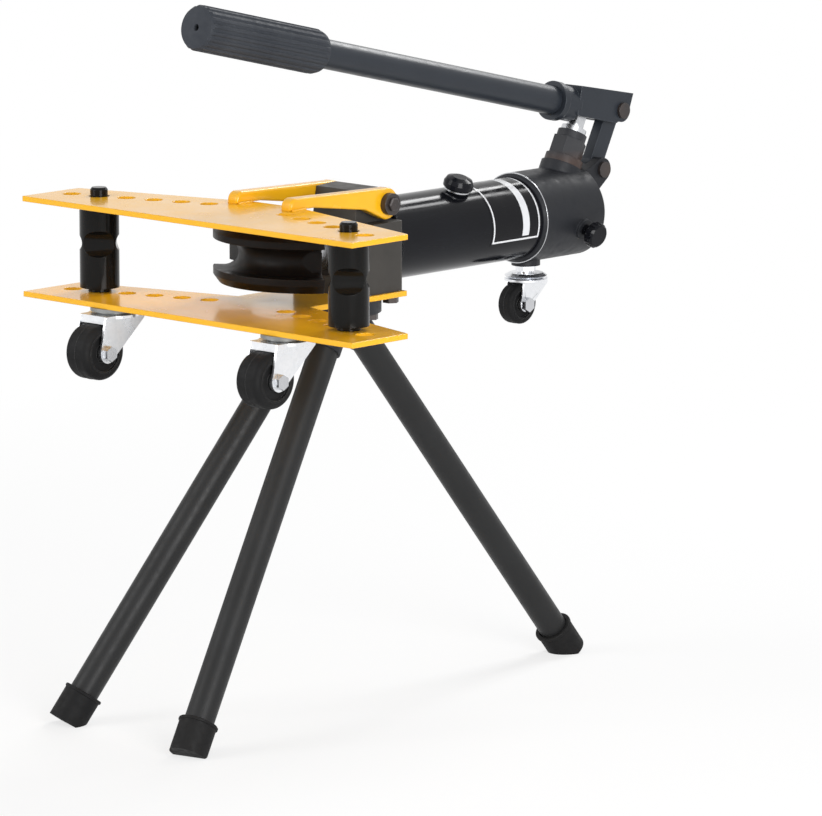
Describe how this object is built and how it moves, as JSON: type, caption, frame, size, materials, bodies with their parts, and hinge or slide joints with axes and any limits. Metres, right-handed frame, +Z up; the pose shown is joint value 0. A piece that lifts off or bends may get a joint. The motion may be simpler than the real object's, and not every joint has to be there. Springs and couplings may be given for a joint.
{
  "type": "hydraulic pipe bender",
  "caption": "Hydraulic pipe bender on a tripod: hinged wing plates with rollers, a ram with a grooved die, a reservoir with a hand pump and lever, and swivel casters.",
  "frame": {"origin": "on the floor, under the middle of the object's box", "axes": "+X along the wings, +Y from the wings towards the pump along the ram's axis, +Z up"},
  "size_m": [0.412, 0.6602, 0.6506],
  "materials": {
    "yellow_paint": "gloss yellow paint on steel plate",
    "black_gloss": "gloss black paint",
    "black_cast": "satin black paint on a casting",
    "grey_cast": "satin dark grey paint",
    "roller_black": "satin blackened steel",
    "slate_paint": "satin slate grey paint",
    "leg_paint": "fine textured dark grey paint",
    "grip_rubber": "fluted rubber",
    "foot_rubber": "matt rubber",
    "wheel_rubber": "moulded wheel rubber",
    "seal_rubber": "oil seal rubber",
    "zinc_plate": "bright zinc plated sheet",
    "bright_steel": "ground steel"
  },
  "bodies": {
    "frame": {"lower_plate": "yellow_paint", "head_block": "grey_cast", "rod_wiper": "seal_rubber", "reservoir_tube": "black_gloss", "inner_cylinder": "bright_steel", "tail_block": "grey_cast", "pump_barrel": "grey_cast", "pump_gland": "bright_steel", "fulcrum_link": "grey_cast", "fulcrum_pin": "grey_cast", "link_pin": "grey_cast", "hinge_pin": "grey_cast", "return_spring": "bright_steel", "tripod_head": "grey_cast", "head_bolts": "bright_steel", "leg_front_left": "leg_paint", "leg_front_right": "leg_paint", "leg_rear": "leg_paint", "foot_front_left": "foot_rubber", "foot_front_right": "foot_rubber", "foot_rear": "foot_rubber", "caster_mount_left": "zinc_plate", "caster_mount_right": "zinc_plate", "tail_caster_stem": "zinc_plate"},
    "upper_wing": {"upper_plate": "yellow_paint", "hinge_arm_left": "yellow_paint", "hinge_arm_right": "yellow_paint"},
    "left_roller": {"roller_left": "roller_black"},
    "right_roller": {"roller_right": "roller_black"},
    "ram": {"ram_rod": "bright_steel", "piston": "bright_steel", "piston_seal": "seal_rubber", "bending_die": "black_cast", "die_screw": "bright_steel"},
    "handle": {"handle_socket": "slate_paint", "handle_tube": "slate_paint", "handle_grip": "grip_rubber"},
    "plunger": {"pump_plunger": "bright_steel", "plunger_pin": "bright_steel"},
    "valve": {"release_valve": "black_gloss"},
    "filler": {"filler_cap": "black_gloss"},
    "left_caster": {"caster_fork_left": "zinc_plate", "caster_axle_left": "bright_steel"},
    "left_wheel": {"caster_wheel_left": "wheel_rubber"},
    "right_caster": {"caster_fork_right": "zinc_plate", "caster_axle_right": "bright_steel"},
    "right_wheel": {"caster_wheel_right": "wheel_rubber"},
    "tail_caster": {"tail_caster_fork": "zinc_plate", "tail_caster_axle": "bright_steel"},
    "tail_wheel": {"tail_caster_wheel": "wheel_rubber"}
  },
  "joints": [
    {"name": "wing_lift", "type": "hinge", "parent": "frame", "child": "upper_wing", "pos_m": [0, -0.03319, 0.458], "axis": [-1, 0, 0], "range_deg": [0, 30]},
    {"name": "left_roller_spin", "type": "hinge", "parent": "frame", "child": "left_roller", "pos_m": [-0.156, -0.20519, 0.418], "axis": [0, 0, 1], "continuous": true},
    {"name": "right_roller_spin", "type": "hinge", "parent": "frame", "child": "right_roller", "pos_m": [0.156, -0.20519, 0.418], "axis": [0, 0, 1], "continuous": true},
    {"name": "ram_slide", "type": "slide", "parent": "frame", "child": "ram", "axis": [0, -1, 0], "range_m": [-0.04, 0.1], "deforming": ["return_spring"]},
    {"name": "handle_lever", "type": "hinge", "parent": "frame", "child": "handle", "pos_m": [0, 0.31439, 0.50763], "axis": [-1, 0, 0], "range_deg": [0, 35]},
    {"name": "plunger_slide", "type": "slide", "parent": "frame", "child": "plunger", "axis": [0, 0.454, 0.891], "range_m": [-0.001, 0.026]},
    {"name": "valve_turn", "type": "hinge", "parent": "frame", "child": "valve", "pos_m": [0, 0.23181, 0.418], "axis": [0.9613, 0, -0.2756], "range_deg": [0, 270]},
    {"name": "filler_turn", "type": "hinge", "parent": "frame", "child": "filler", "pos_m": [0, 0.08881, 0.418], "axis": [0.309, 0, 0.9511], "range_deg": [0, 270]},
    {"name": "left_caster_swivel", "type": "hinge", "parent": "frame", "child": "left_caster", "pos_m": [-0.107, -0.23519, 0.334], "axis": [0, 0, 1], "continuous": true},
    {"name": "left_wheel_spin", "type": "hinge", "parent": "left_caster", "child": "left_wheel", "pos_m": [-0.107, -0.25919, 0.334], "axis": [1, 0, 0], "continuous": true},
    {"name": "right_caster_swivel", "type": "hinge", "parent": "frame", "child": "right_caster", "pos_m": [0.107, -0.23519, 0.334], "axis": [0, 0, 1], "continuous": true},
    {"name": "right_wheel_spin", "type": "hinge", "parent": "right_caster", "child": "right_wheel", "pos_m": [0.107, -0.25919, 0.334], "axis": [1, 0, 0], "continuous": true},
    {"name": "tail_caster_swivel", "type": "hinge", "parent": "frame", "child": "tail_caster", "pos_m": [0, 0.19681, 0.337], "axis": [0, 0, 1], "continuous": true},
    {"name": "tail_wheel_spin", "type": "hinge", "parent": "tail_caster", "child": "tail_wheel", "pos_m": [0, 0.18481, 0.337], "axis": [1, 0, 0], "continuous": true}
  ],
  "couplings": [
    {"joint": "plunger_slide", "follows": "handle_lever", "m_per_rad": 0.04023}
  ]
}
